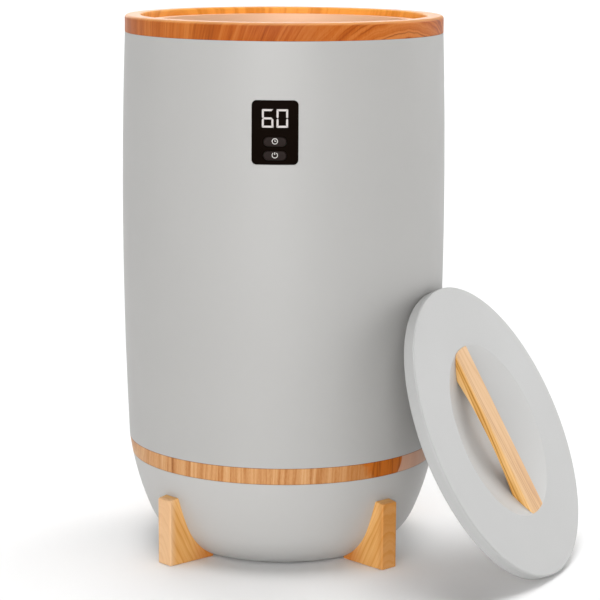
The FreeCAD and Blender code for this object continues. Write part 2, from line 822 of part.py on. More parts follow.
def make_lid_top():
    """Moulded lid: flat face, rounded rim and a round dish under the handle, with bosses behind."""
    r, e, b = lid_radius, lid_edge_round, lid_back_round
    inner = r - lid_wall
    under = math.sqrt((dish_sphere + lid_wall) ** 2 - (dish_centre + lid_wall) ** 2)
    half_dish = dish_radius / 2
    half_under = under / 2
    edges = [arc((0, -dish_depth), (half_dish, dish_under(half_dish)), (dish_radius, 0))]
    edges += lines((dish_radius, 0), (r - e, 0))
    edges.append(arc((r - e, 0), corner_middle((r - e, -e), e, 45), (r, -e)))
    edges += lines((r, -e), (r, b - lid_edge))
    edges.append(arc((r, b - lid_edge), corner_middle((r - b, b - lid_edge), b, -45), (r - b, -lid_edge)))
    edges += lines((r - b, -lid_edge), (inner, -lid_edge), (inner, -lid_wall), (under, -lid_wall))
    edges.append(arc((under, -lid_wall), (half_under, dish_under(half_under, lid_wall)),
                     (0, -dish_depth - lid_wall)))
    edges += lines((0, -dish_depth - lid_wall), (0, -dish_depth))
    lid = revolve(edges)
    rim = [edge for edge in lid.Edges if abs(edge.BoundBox.ZMax) < dish_edge_round / 100
           and abs(edge.BoundBox.ZMin) < dish_edge_round / 100
           and abs(edge.BoundBox.XMax - dish_radius) < dish_edge_round / 100]
    lid = lid.makeFillet(dish_edge_round, rim)
    boss_top = -lid_wall / 2
    boss_bottom = plug_bottom + cover_skin
    for place in lid_screw_places():
        lid = lid.fuse(rod(lid_boss_radius, boss_top - boss_bottom, place + V(0, 0, boss_bottom)))
        lid = lid.cut(rod(screw_radius + screw_clearance, boss_top - boss_bottom - lid_wall,
                          place + V(0, 0, boss_bottom)))
    dish = dish_ball(lid_wall / 2)
    for place in handle_ends():
        pad = rod(handle_pad_radius, handle_pad_depth, place + V(0, 0, -handle_pad_depth))
        lid = lid.fuse(pad.cut(dish))
        lid = lid.cut(rod(screw_radius + screw_clearance, handle_pad_depth,
                          place + V(0, 0, -handle_pad_depth)))
    return lid


def dish_ball(grow):
    return Part.makeSphere(dish_sphere + grow, V(0, 0, dish_centre))


def make_lid_cover():
    """Inner cover: a flange inside the lid's skirt, a plug that drops into the rim, and a shallow dome."""
    outer = lid_radius - lid_wall - inner_clearance
    flange_top = cover_rise - lid_edge
    flange_low = flange_top - cover_skin
    inner = plug_radius - cover_skin
    floor_top = plug_bottom + cover_skin
    half = dome_edge / 2
    dome_sphere = (dome_edge ** 2 + plug_dome ** 2) / (2 * plug_dome)

    def dome(radius, edge_z):
        return edge_z - plug_dome + dome_sphere - math.sqrt(dome_sphere ** 2 - radius ** 2)

    edges = lines((outer, flange_top), (outer, flange_low), (plug_radius, flange_low),
                  (plug_radius, plug_bottom), (dome_edge, plug_bottom))
    edges.append(arc((dome_edge, plug_bottom), (half, dome(half, plug_bottom)), (0, dome(0, plug_bottom))))
    edges += lines((0, dome(0, plug_bottom)), (0, dome(0, floor_top)))
    edges.append(arc((0, dome(0, floor_top)), (half, dome(half, floor_top)), (dome_edge, floor_top)))
    edges += lines((dome_edge, floor_top), (inner, floor_top), (inner, flange_top), (outer, flange_top))
    cover = revolve(edges)
    for place in lid_screw_places():
        cover = cover.cut(rod(screw_radius + screw_clearance, cover_skin, place + V(0, 0, plug_bottom)))
    return cover


def make_lid_seal():
    top = -lid_edge - seal_drop
    low = top - seal_height
    lip = (plug_radius + seal_width, (top + low) / 2)
    return revolve(lines((plug_radius, top), lip, (plug_radius, low), (plug_radius, top)))


def make_lid_foam():
    outer = plug_radius - lid_foam_margin
    top = -lid_wall - inner_clearance
    low = plug_bottom + cover_skin + inner_clearance
    foam = ring(outer, dish_radius + lid_foam_gap, low, top - low)
    for place in lid_screw_places():
        foam = foam.cut(rod(lid_boss_radius + inner_clearance, top - low, place + V(0, 0, low)))
    return foam


def make_handle():
    """Wooden bar across the dish: flat on top, arched underneath, its ends cut to the dish."""
    reach = dish_radius - handle_end_gap
    low = handle_proud - handle_middle - handle_arch
    edges = lines((-handle_arch_span, low), (-reach, low), (-reach, handle_proud), (reach, handle_proud),
                  (reach, low), (handle_arch_span, low))
    edges.append(arc((handle_arch_span, low), (0, handle_proud - handle_middle), (-handle_arch_span, low)))
    bar = Part.Face(Part.Wire(Part.__sortEdges__(edges))).extrude(V(0, handle_width, 0))
    bar.translate(V(0, -handle_width / 2, 0))
    long_edges = [e for e in bar.Edges if abs(e.BoundBox.ZMin - handle_proud) < handle_round / 100
                  and e.BoundBox.XLength > reach]
    bar = bar.makeFillet(handle_round, long_edges)
    bar = bar.common(rod(reach, 2 * dish_depth, V(0, 0, -dish_depth)))
    bar = bar.common(dish_ball(-handle_seat_gap))
    bar.rotate(V(0, 0, 0), V(0, 0, 1), 90 + handle_tilt)
    for place in handle_ends():
        bar = bar.cut(rod(screw_radius + screw_clearance, handle_pad_depth - handle_screw_top(),
                          place + V(0, 0, -handle_pad_depth)))
    return bar


def handle_screw_top():
    """Depth of a handle screw's point under the lid's face."""
    return -dish_under(handle_screw_place) - handle_screw_bite


def make_handle_screws():
    length = handle_pad_depth - handle_screw_top()
    return Part.Compound([screw(place + V(0, 0, -handle_pad_depth), V(0, 0, 1), length)
                          for place in handle_ends()])


def make_lid_screws():
    length = lid_edge + plug_depth - 2 * lid_wall
    return Part.Compound([screw(place + V(0, 0, plug_bottom), V(0, 0, 1), length)
                          for place in lid_screw_places()])


def leaned(shape):
    """The lid stands on its lower edge and leans on the drum, facing away from the drum's axis."""
    tilt = math.radians(lid_lean)
    s, c = math.sin(tilt), math.cos(tilt)
    far = lid_radius - lid_back_round
    deep = lid_edge - lid_back_round
    centre_z = far * c + deep * s + lid_back_round
    touch_z = centre_z + far * c - deep * s
    centre_r = wall_radius(touch_z) + lid_clearance + far * s + deep * c + lid_back_round
    a = math.radians(lid_bearing)
    out = V(math.sin(a), -math.cos(a), 0)
    across = V(math.cos(a), math.sin(a), 0)
    up = V(-s * out.x, -s * out.y, c)
    normal = V(c * out.x, c * out.y, s)
    centre = V(centre_r * out.x, centre_r * out.y, centre_z)
    matrix = FreeCAD.Matrix(across.x, up.x, normal.x, centre.x, across.y, up.y, normal.y, centre.y,
                            across.z, up.z, normal.z, centre.z, 0, 0, 0, 1)
    moved = shape.copy()
    moved.Placement = FreeCAD.Placement(matrix)
    return moved


rim_screw_circle = rim_radius - shell_flange / 2
cover_screw_circle = cover_radius - cover_ledge / 2
board_seat = ledge_height_low + board_post_height
board_top = board_seat + power_board_thickness

save("outer_shell", make_shell())
save("top_rim_ring", make_rim())
save("trim_band", make_band())
save("base_bowl", make_bowl())
for name, angle in foot_angles.items():
    save(name, make_foot(angle))
save("foot_pads", make_pads())
save("foot_screws", make_foot_screws())
save("bottom_cover", make_cover())
save("bottom_cover_screws", Part.Compound([
    screw(polar(cover_screw_circle, angle, floor_gap), V(0, 0, 1), cover_boss_height)
    for angle in cover_screw_angles]))
save("shell_screws", Part.Compound([
    screw(polar(post_centre, angle, neck_top - lug_thickness), V(0, 0, 1), shell_screw_length)
    for angle in post_angles]))
save("rim_screws", Part.Compound([
    screw(polar(rim_screw_circle, angle, rim_bottom - shell_wall), V(0, 0, 1), rim_screw_length)
    for angle in post_angles]))
save("inner_pot", make_pot())
save("pot_wall_heater", make_wall_heater())
save("pot_floor_heater", ring(base_heater_radius, base_heater_bore, pot_underside - base_heater_thickness,
                              base_heater_thickness))
save("insulation_sleeve", make_sleeve())
save("thermostat", make_thermostat())
save("thermal_fuse", rod(fuse_radius, fuse_length,
                         V(-fuse_length / 2, -fuse_offset, pot_underside - fuse_radius), V(1, 0, 0)))
save("power_board", make_power_board())
save("power_board_screws", Part.Compound([
    screw(V(x, y, board_top), V(0, 0, -1), board_post_height) for x, y in board_corners()]))
save("power_relay", on_board(relay_size, relay_size[0], 0))
save("terminal_block", on_board(terminal_size, *terminal_place()))
save("mains_capacitor", on_board(capacitor_size, (relay_size[0] - transformer_size[0]) / 4,
                                 -capacitor_size[1] / 2))
save("board_transformer", on_board(transformer_size, -transformer_size[0], 0))
save("heater_leads", make_leads())
save("cord_gland", make_gland())
save("gland_nut", make_gland_nut())
save("display_lens", make_lens())
save("digit_light_bars", make_light_bars())
save("timer_button", make_button(timer_button_drop))
save("power_button", make_button(power_button_drop))
save("display_housing", make_housing())
save("control_board", make_control_board())
save("control_board_screws", make_board_screws())
save("digit_module", make_digit_module())
save("button_switches", make_switches())
save("ribbon_cable", make_ribbon())
save("ribbon_plug", on_board(ribbon_plug, *ribbon_plug_place()))
save("lid_top", leaned(make_lid_top()))
save("lid_inner_cover", leaned(make_lid_cover()))
save("lid_seal", leaned(make_lid_seal()))
save("lid_foam", leaned(make_lid_foam()))
save("lid_handle", leaned(make_handle()))
save("lid_handle_screws", leaned(make_handle_screws()))
save("lid_cover_screws", leaned(make_lid_screws()))
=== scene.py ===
import math
import bmesh
import bpy
from mathutils import Matrix, Vector


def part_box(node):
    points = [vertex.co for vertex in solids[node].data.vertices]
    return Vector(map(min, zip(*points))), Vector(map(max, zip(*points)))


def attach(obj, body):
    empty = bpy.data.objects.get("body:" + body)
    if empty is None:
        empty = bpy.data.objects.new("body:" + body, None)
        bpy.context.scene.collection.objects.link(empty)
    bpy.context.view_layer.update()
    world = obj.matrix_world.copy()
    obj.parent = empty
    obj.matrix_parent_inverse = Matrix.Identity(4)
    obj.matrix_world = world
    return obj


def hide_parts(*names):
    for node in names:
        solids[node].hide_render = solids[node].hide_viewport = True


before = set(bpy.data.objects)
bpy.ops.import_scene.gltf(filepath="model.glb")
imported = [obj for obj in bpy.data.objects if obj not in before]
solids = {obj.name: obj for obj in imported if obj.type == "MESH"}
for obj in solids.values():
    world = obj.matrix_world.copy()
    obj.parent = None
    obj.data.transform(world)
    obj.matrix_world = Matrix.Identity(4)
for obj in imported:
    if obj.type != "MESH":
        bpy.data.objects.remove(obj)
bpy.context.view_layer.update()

# The lower bowl: one injection moulding in light warm grey, with a very fine spark eroded texture that
# gives it a satin sheen. The drum's shell, the bottom cover and the lid are moulded from the same plastic.
# The grey given to the bowl and the bottom cover is mixed paler than the shell's, as painted light on the
# bowl's downward curve.
satin = 0.44


class Shade:
    """A socket of a finish's node tree. Sums and products of shades add Math nodes to that tree."""

    def __init__(self, tree, socket=None):
        self.tree = tree
        self.socket = socket

    def node(self, kind, settings, sockets, out=0):
        """A new node: its settings are set first, then the values or links of its sockets."""
        made = self.tree.nodes.new("ShaderNode" + kind)
        for name, value in settings.items():
            if name == "stops":
                ramp = made.color_ramp.elements
                ramp.remove(ramp[1])
                ramp[0].position, ramp[0].color = value[0]
                for place, tint in value[1:]:
                    ramp.new(place).color = tint
            else:
                setattr(made, name, value)
        for name, value in sockets.items():
            if isinstance(value, Shade):
                self.tree.links.new(value.socket, made.inputs[name])
            else:
                made.inputs[name].default_value = value
        return Shade(self.tree, made.outputs[out] if made.outputs else None)

    def maths(self, operation, *values):
        return self.node("Math", {"operation": operation}, dict(enumerate(values)))

    def vector(self, operation, *values, out=0):
        return self.node("VectorMath", {"operation": operation}, dict(enumerate(values)), out)

    def counted_from(self, point):
        """This place, counted from a point."""
        return self.vector("SUBTRACT", self, tuple(point))

    def along(self, way):
        """How far this place lies along a direction."""
        return self.vector("DOT_PRODUCT", self, tuple(way), out=1)

    def parts(self):
        """The three coordinates of this place."""
        return [self.node("SeparateXYZ", {}, {0: self}, k) for k in range(3)]

    def between(self, first, second):
        """A colour between two others, with this share of the second one."""
        return self.node("Mix", {"data_type": "RGBA"}, {0: self, 6: first, 7: second}, 2)

    def mixed(self, share, other):
        """This colour, with a share of another one."""
        return self.node("Mix", {"data_type": "RGBA"}, {0: share, 6: self, 7: other}, 2)

    def ramp(self, *stops):
        return self.node("ValToRGB", {"stops": stops}, {0: self})

    def noise(self, scale, detail=2.0, roughness=0.5):
        return self.node("TexNoise", {}, {"Vector": self, "Scale": scale, "Detail": detail,
                                          "Roughness": roughness})

    def step(self, low, high):
        """0 below low and 1 above high, with a soft rise between."""
        return self.node("MapRange", {"interpolation_type": "SMOOTHSTEP"}, {0: self, 1: low, 2: high})

    def __add__(self, other):
        return self.maths("ADD", self, other)

    def __sub__(self, other):
        return self.maths("SUBTRACT", self, other)

    def __rsub__(self, other):
        return self.maths("SUBTRACT", other, self)

    def __mul__(self, other):
        return self.maths("MULTIPLY", self, other)

    __radd__ = __add__
    __rmul__ = __mul__


def colour(code):
    """A colour as it is seen on a screen, such as C4C3C1, as linear light."""
    seen = [int(code[k:k + 2], 16) / 255 for k in (0, 2, 4)]
    return tuple(c / 12.92 if c <= 0.04045 else ((c + 0.055) / 1.055) ** 2.4 for c in seen) + (1.0,)


def new_finish(name):
    """An empty finish and the place on the piece, in metres, that its pattern follows."""
    finish = bpy.data.materials.new(name)
    finish.use_nodes = True
    finish.node_tree.nodes.clear()
    return finish, Shade(finish.node_tree).node("TexCoord", {}, {}, "Object")


def close_finish(shade, height, depth, sockets):
    """Adds the surface shader and its output; height is the relief, depth its size in metres."""
    relief = shade.node("Bump", {}, {"Height": height, "Distance": depth, "Strength": 1.0})
    surface = shade.node("BsdfPrincipled", {}, {"Normal": relief, **sockets})
    shade.node("OutputMaterial", {}, {"Surface": surface})


def dress(finish, *names):
    """Gives a finish to solids of the frame, by their names."""
    for name in names:
        for slot in solids[name].material_slots:
            slot.material = finish


def moulding(name, light, deep, roughness, sheen=0.5, patch=None):
    """Moulded plastic: a faint drift of its pigment, and a stipple finer than a millimetre.

    patch(place, shade) gives a piece tones of its own; the lid's dish uses it for painted light.
    """
    finish, place = new_finish(name)
    drift = place.noise(9.0, 3.0)
    stipple, stipple_depth = place.noise(1900.0, 1.0), 0.000012
    shade = drift.between(colour(light), colour(deep))
    if patch is not None:
        shade = patch(place, shade)
    close_finish(place, stipple, stipple_depth, {
        "Base Color": shade, "Roughness": roughness + 0.10 * (drift - 0.5), "Specular IOR Level": sheen})
    return finish


# Painted light: this grey is paler than the shell's so that the bowl's downward curve looks lit.
bowl_grey_painted_light = moulding("bowl_grey_moulding", "B2B1AF", "AEADAB", satin)
dress(bowl_grey_painted_light, "base_bowl")

# The bottom cover: a flat disc of the same moulding with radial vents and posts for the power board.
# Four zinc plated screws hold it to the bowl's ledge.
dress(bowl_grey_painted_light, "bottom_cover")


def zinc_plate():
    """Plated steel with fine marks from its making."""
    finish, place = new_finish("zinc_plate")
    marks, mark_depth = place.noise(2400.0, 4.0), 0.00001
    close_finish(place, marks, mark_depth, {
        "Base Color": marks.between(colour("C9CACC"), colour("A5A6A8")),
        "Roughness": 0.34 + 0.2 * (marks - 0.5), "Metallic": 1.0})
    return finish


zinc = zinc_plate()
dress(zinc, "bottom_cover_screws")

# The trim band: a thin hoop of straight grained wood that sits in the neck between bowl and shell.
# Its grain stands upright, with a darker patch and a pale end towards the right. The darker patch is
# painted shade where the lid's shadow falls, and painted shade darkens the seams at its top and bottom.
low_corner, high_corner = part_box("trim_band")
band_low, band_high = low_corner[2], high_corner[2]
band_wide = high_corner[0]
band_taper = 0.00264
band_narrow = band_wide - band_taper
band_bore = 0.14302
band_round = 0.0005
ring_facets = 288
corner_facets = 6


def turned(name, outline):
    """A ring turned about the drum's axis from a closed outline of radius and height."""
    shape = bmesh.new()
    rings = []
    for k in range(ring_facets):
        a = 2 * math.pi * k / ring_facets
        rings.append([shape.verts.new((r * math.sin(a), -r * math.cos(a), z)) for r, z in outline])
    for k in range(ring_facets):
        near, far = rings[k], rings[(k + 1) % ring_facets]
        for j in range(len(outline)):
            i = (j + 1) % len(outline)
            shape.faces.new((near[j], far[j], far[i], near[i]))
    bmesh.ops.recalc_face_normals(shape, faces=shape.faces)
    return finished(name, shape)


def finished(name, shape, sharp=35.0):
    """A piece from a bmesh, shaded smooth except over edges that turn by more than sharp degrees."""
    mesh = bpy.data.meshes.new(name)
    shape.to_mesh(mesh)
    shape.free()
    mesh.shade_smooth()
    mesh.set_sharp_from_angle(angle=math.radians(sharp))
    piece = bpy.data.objects.new(name, mesh)
    bpy.context.collection.objects.link(piece)
    return piece


def softened(corners):
    """A closed outline whose corners, each with its own radius, are rounded."""
    outline = []
    for k, (x, z, radius) in enumerate(corners):
        if radius == 0:
            outline.append((x, z))
            continue
        here = Vector((x, z))
        before = (Vector(corners[k - 1][:2]) - here).normalized()
        after = (Vector(corners[(k + 1) % len(corners)][:2]) - here).normalized()
        half = before.angle(after) / 2
        centre = here + (before + after).normalized() * (radius / math.sin(half))
        start = here + before * (radius / math.tan(half)) - centre
        end = here + after * (radius / math.tan(half)) - centre
        sweep = start.angle_signed(end)
        for j in range(corner_facets + 1):
            turn = Matrix.Rotation(-sweep * j / corner_facets, 2)
            outline.append(tuple(centre + turn @ start))
    return outline


def wood(name, heart, axis, ring, tones, patch, contrast, sheen, even=0.0, waver=1.0):
    """Lacquered wood from one trunk: growth rings of uneven width about an axis through heart, and fibres.

    ring is the usual width of a year in metres, and even is the share of years that are drawn alike.
    patch(place, grown, layer) gives a piece a figure of its own, with painted light and shade on some
    pieces; layer is the year and the place along it.
    """
    finish, place = new_finish(name)
    axis = Vector(axis).normalized()
    across = axis.orthogonal().normalized()
    square = axis.cross(across)
    off = place.counted_from(heart)
    run, u, v = [off.along(way) for way in (axis, across, square)]
    trunk = off.node("CombineXYZ", {}, {0: u, 1: v, 2: run * 0.2})
    thread = off.node("CombineXYZ", {}, {0: u, 1: v, 2: run * 0.03})
    depth = off.maths("SQRT", u * u + v * v) * (1 / ring)
    sway = (trunk.noise(28.0) - 0.5) * (2.4 * waver)
    ripple = (trunk.noise(110.0) - 0.5) * (0.7 * waver)
    years = depth + sway + ripple
    layer = off.node("CombineXYZ", {}, {0: years, 1: run * 9.0})
    broad = layer.noise(0.23) - 0.5
    narrow = layer.noise(0.95, 3.0, 0.6) - 0.5
    fibre, fibre_depth = thread.noise(1300.0) - 0.5, 0.00002
    year = years.maths("FRACT", years)
    late = year.step(0.45, 0.88) * (1 - year.step(0.90, 1.0)) - 0.3
    tone = (broad * 1.1 + narrow * 1.2 + late * (0.6 * even) + fibre * 0.3) * contrast + 0.5
    pale, middle, dark, deep = [colour(t) for t in tones]
    grown = tone.ramp((0.22, pale), (0.45, middle), (0.64, dark), (0.86, deep))
    close_finish(place, fibre + 0.5 * narrow, fibre_depth, {
        "Base Color": patch(place, grown, layer), "Roughness": 0.42 + 0.15 * fibre,
        "Specular IOR Level": sheen})
    return finish


def band_grain_and_painted_shade(place, grown, layer):
    """A darker patch of painted shade on the band's right, where the lid's shadow falls, with a curved
    right end, pale sapwood beyond it, and painted shade along the seams at top and bottom.

    Its places are angles from the drum's front towards the right, in radians, and heights in metres.
    """
    lid_shadow_start, start_height, start_slant = (0.575, 0.645), 0.098, 5.0
    lid_shadow_end, end_height, end_steep, end_bulge = 0.900, 0.1015, 60.0, 0.055
    crisp, sap_fade = (-0.004, 0.004), (1.8, 2.0)
    seam_low, seam_high = (0.0002, 0.0008), (-0.0008, -0.0002)
    x, y, z = place.parts()
    turn = x.maths("ARCTAN2", x, 0 - y)
    blot = (place.noise(95.0) - 0.5) * 0.14
    rise = (z - end_height) * end_steep
    past_end = turn - (lid_shadow_end - rise * rise * end_bulge)
    # Painted shade: the darker patch stands where the lid's shadow falls on the band.
    started = (turn + blot + (z - start_height) * start_slant).step(*lid_shadow_start)
    in_lid_shadow = started * (1 - past_end.step(*crisp))
    beyond = past_end.step(*crisp) * (1 - turn.step(*sap_fade))
    vein = layer.noise(1.6).step(0.52, 0.68)
    lid_shadow_tone = grown.mixed(0.93, colour("B45C04")).mixed(vein * 0.6, colour("6E3002"))
    warmer = grown.mixed(turn.step(0.15, 0.60) * 0.4, colour("B06A28"))
    figured = warmer.mixed(in_lid_shadow, lid_shadow_tone).mixed(beyond * 0.72, colour("C79F8B"))
    # Painted shade: dark lines along the band's top and bottom seams, where shade falls in the joints.
    seam = 1 - (z - band_low).step(*seam_low) * (1 - (z - band_high).step(*seam_high))
    return figured.mixed(seam * 0.55, colour("4E2C14"))


band = turned("band_hoop", softened([
    (band_bore, band_low, 0), (band_narrow, band_low, band_round), (band_wide, band_high, band_round),
    (band_bore, band_high, 0)]))
band.data.materials.append(wood(
    "upright_grain", heart=(-0.35, -0.10, 0.09), axis=(0.06, 0.03, 1.0), ring=0.0026,
    tones=("CFA476", "C28F5E", "AE7543", "824A20"), patch=band_grain_and_painted_shade, contrast=0.75, sheen=0.15))
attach(band, "drum")
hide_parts("trim_band")

# The four feet: solid wooden fins, band sawn to the bowl's curve, with eased outer edges and a lacquer.
# Each is held by two screws from inside the bowl and stands on two small rubber pads.
foot_radius = 0.149
foot_tip = (0.104, 0.128)
# Painted shading: a foot's end tone fades in over these radii as the light on a rounded edge would.
rounded_end_shading = (0.1405, 0.1490)
# For each foot: the way it points, its trunk's height, lean and shift, and its end's tone and share.
# The front left end's pale tone is partly painted light and the front right end's deep tone partly
# painted shade, over the end grain's own tone.
feet = {
    "foot_front_left": ((-1, -1), (-0.010, 0.49, 0.005), ("DABA9B", 0.55)),
    "foot_front_right": ((1, -1), (-0.020, 0.47, 0.0), ("B87230", 0.5)),
    "foot_rear_right": ((1, 1), (-0.015, 0.45, 0.002), ("E8BE8E", 0.6)),
    "foot_rear_left": ((-1, 1), (-0.018, 0.50, -0.003), ("E8BE8E", 0.6)),
}


def sawn_end_with_painted_light(way, tone, share):
    """The tone of a foot's outer end, sawn across the grain, and of its deeper inner tip. The end's tone is
    partly painted light and shade, and fades in over the last 8.5 millimetres as painted shading of a
    rounded edge.
    """
    def patch(place, grown, layer):
        reach = place.along(way)
        tip = grown.mixed((1 - reach.step(*foot_tip)) * 0.75, colour("B8661E"))
        # The end's own tone, with painted light and shade from the feet table.
        return tip.mixed(reach.step(*rounded_end_shading) * share, colour(tone))
    return patch


upright = Vector((0, 0, 1))
for name, ((x, y), (height, lean, shift), end) in feet.items():
    way = Vector((x, y, 0)).normalized()
    grain = wood(name + "_grain", heart=way * foot_radius + way.cross(upright) * shift + upright * height,
                 axis=way * lean + upright, ring=0.0042, tones=("EABE84", "DEA866", "CC8D42", "A96A28"),
                 patch=sawn_end_with_painted_light(way, *end), contrast=0.38, sheen=0.15, even=0.4, waver=1.1)
    dress(grain, name)


def dull(name, light, deep, roughness, scale, relief=0.00002):
    """A soft or filled material: speckled, with a matt skin."""
    finish, place = new_finish(name)
    speck = place.noise(scale, 3.0)
    close_finish(place, speck, relief, {
        "Base Color": speck.between(colour(light), colour(deep)),
        "Roughness": roughness + 0.15 * (speck - 0.5), "Specular IOR Level": 0.35})
    return finish


dress(dull("pad_rubber_skin", "2B2B2B", "1C1C1C", 0.82, 1500.0), "foot_pads")
dress(zinc, "foot_screws")

# The drum's shell: a tall moulding of the same grey plastic, slightly swelled, with the display's window
# cut in its front. It stands on the band and is screwed to the bowl's neck from inside.
shell_grey = moulding("shell_grey_moulding", "A8A7A5", "A4A3A1", satin)
dress(shell_grey, "outer_shell")
dress(zinc, "shell_screws")

# The display: a polished black lens, flush with the drum, with a two digit light display behind it.
# The digits' light bars are milky white and shine evenly. A black housing behind the window holds both.
polish_depth = 0.000004


def polished_black():
    """Black plastic with the faint smears that a cloth leaves."""
    finish, place = new_finish("polished_black_lens")
    smear = place.noise(70.0, 4.0)
    close_finish(place, smear, polish_depth, {
        "Base Color": smear.between(colour("0A0503"), colour("100804")),
        "Roughness": 0.16 + 0.08 * smear, "Specular IOR Level": 0.01})
    return finish


def lit_white():
    """Milky plastic with light behind it."""
    finish, place = new_finish("lit_white_bars")
    glow = place.noise(160.0, 1.0)
    shade = glow.between(colour("8E8987"), colour("837E7C"))
    close_finish(place, glow, polish_depth, {
        "Base Color": shade, "Roughness": 0.35, "Emission Color": shade, "Emission Strength": 1.3})
    return finish


dress(polished_black(), "display_lens")
dress(lit_white(), "digit_light_bars")
black_moulding = moulding("black_moulding", "1B1B1C", "151516", 0.5)
dress(black_moulding, "display_housing")

# The two keys: pill shaped dark grey caps that stand half a millimetre proud of the lens, with softly
# rounded edges and a flange behind the lens that keeps them in. A clock is printed on the upper one and a
# power sign on the lower one.
key_width = 0.0205
key_flange = 0.0016
key_facets = 14
# From the cap's face to its back: how far the outline is drawn in, and how deep it lies.
key_edge = ((0.0010, 0.0), (0.00045, 0.0001), (0.00012, 0.0004), (0.0, 0.0009), (0.0, 0.0046))
sign_radius, sign_rise = 0.0024, 0.0006
sign_stroke, hand_stroke = 0.0006, 0.0005
ink_lift, ink_sunk = 0.00004, 0.0002


def pill(width, tall, inset):
    """The outline of a pill, drawn in from its edge."""
    radius = tall / 2
    points = []
    for side, start in ((1, -90), (-1, 90)):
        for k in range(key_facets + 1):
            a = math.radians(start + 180 * k / key_facets)
            points.append((side * (width / 2 - radius) + (radius - inset) * math.cos(a),
                           (radius - inset) * math.sin(a)))
    return points


def key_cap(name, node):
    """A key's cap, curved as the drum is, and the radius of its face and the height of its middle."""
    low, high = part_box(node)
    middle = (low[2] + high[2]) / 2
    front = -low[1]
    tall = high[2] - low[2] - 2 * key_flange
    shape = bmesh.new()
    rings = []
    for inset, depth in key_edge:
        ring = []
        for x, z in pill(key_width, tall, inset):
            ring.append(shape.verts.new((x, -math.sqrt((front - depth) ** 2 - x * x), middle + z)))
        rings.append(ring)
    for near, far in zip(rings, rings[1:]):
        for k in range(len(near)):
            i = (k + 1) % len(near)
            shape.faces.new((near[k], near[i], far[i], far[k]))
    shape.faces.new(rings[0])
    shape.faces.new(rings[-1])
    bmesh.ops.recalc_face_normals(shape, faces=shape.faces)
    return finished(name, shape, sharp=50.0), front, middle


def printed(name, front, middle, strokes):
    """Printed strokes on a key's curved face: each is a line of points, its width and whether it closes."""
    shape = bmesh.new()
    for points, width, closed in strokes:
        count = len(points)
        rows = []
        for k, (x, z) in enumerate(points):
            before = points[k - 1] if closed or k > 0 else points[k]
            after = points[(k + 1) % count] if closed or k < count - 1 else points[k]
            way = Vector((after[0] - before[0], after[1] - before[1])).normalized() * (width / 2)
            row = []
            for side, level in ((1, ink_lift), (-1, ink_lift), (-1, -ink_sunk), (1, -ink_sunk)):
                px, pz = x - side * way.y, z + side * way.x
                row.append(shape.verts.new((px, -math.sqrt((front + level) ** 2 - px * px), middle + pz)))
            rows.append(row)
        for k in range(count if closed else count - 1):
            near, far = rows[k], rows[(k + 1) % count]
            for j in range(4):
                i = (j + 1) % 4
                shape.faces.new((near[j], near[i], far[i], far[j]))
        if not closed:
            shape.faces.new(rows[0])
            shape.faces.new(rows[-1])
    bmesh.ops.recalc_face_normals(shape, faces=shape.faces)
    return finished(name, shape)


def circle(start, end, steps):
    """Points of an arc of a sign, its angles in degrees clockwise from the top."""
    turns = [math.radians(start + (end - start) * k / steps) for k in range(steps + 1)]
    return [(sign_radius * math.sin(a), sign_radius * math.cos(a)) for a in turns]


key_grey = moulding("dark_key_moulding", "2B2321", "251E1C", 0.42, sheen=0.03)
ink = dull("pale_ink", "D0CDC9", "C2BFBB", 0.6, 900.0, relief=polish_depth)
signs = {
    "timer_button": [(circle(0, 351, 39), sign_stroke, True),
                     ([(0, -0.0003), (0, 0.0014)], hand_stroke, False),
                     ([(-0.0003, 0), (0.0012, 0)], hand_stroke, False)],
    "power_button": [(circle(38, 322, 40), sign_stroke, False),
                     ([(0, 0.0004), (0, 0.0026)], sign_stroke, False)],
}
for node, strokes in signs.items():
    cap, front, middle = key_cap(node + "_cap", node)
    cap.data.materials.append(key_grey)
    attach(cap, node)
    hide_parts(node)
    sign = printed(node + "_sign", front, middle + sign_rise, strokes)
    sign.data.materials.append(ink)
    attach(sign, node)

# Behind the lens: a green circuit board with the digit module and two push switches, screwed to the
# housing's posts, and a grey flat cable that goes down to the power board.
board_green = dull("board_green_mask", "1F6B3B", "17522D", 0.38, 700.0)
dress(board_green, "control_board")
dress(zinc, "control_board_screws")
dress(black_moulding, "digit_module", "button_switches", "ribbon_plug")
dress(dull("flat_cable_grey", "B4B5B7", "9FA0A2", 0.55, 800.0), "ribbon_cable")

# The rim: a ring of solid wood turned from one blank, with rounded edges and a recess for the lid's plug.
# Its grain leans across the front and closes into arches at the right. It is screwed on from below.
low_corner, high_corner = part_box("top_rim_ring")
rim_low, rim_high = low_corner[2], high_corner[2]
rim_wide, rim_wall, rim_bore, ledge_depth = 0.150, 0.0155, 0.1263, 0.0075
mouth = rim_wide - rim_wall
ledge = rim_high - ledge_depth
rim_round, mouth_round, base_round, bore_round = 0.0030, 0.0021, 0.0006, 0.0004
# Painted light: a highlight band along the top's rounded edge, and a paler inner wall in the mouth's shade.
top_highlight_band = (rim_high - 0.0030, rim_high - 0.0004)
mouth_light_band = (mouth + 0.001, mouth + 0.003)


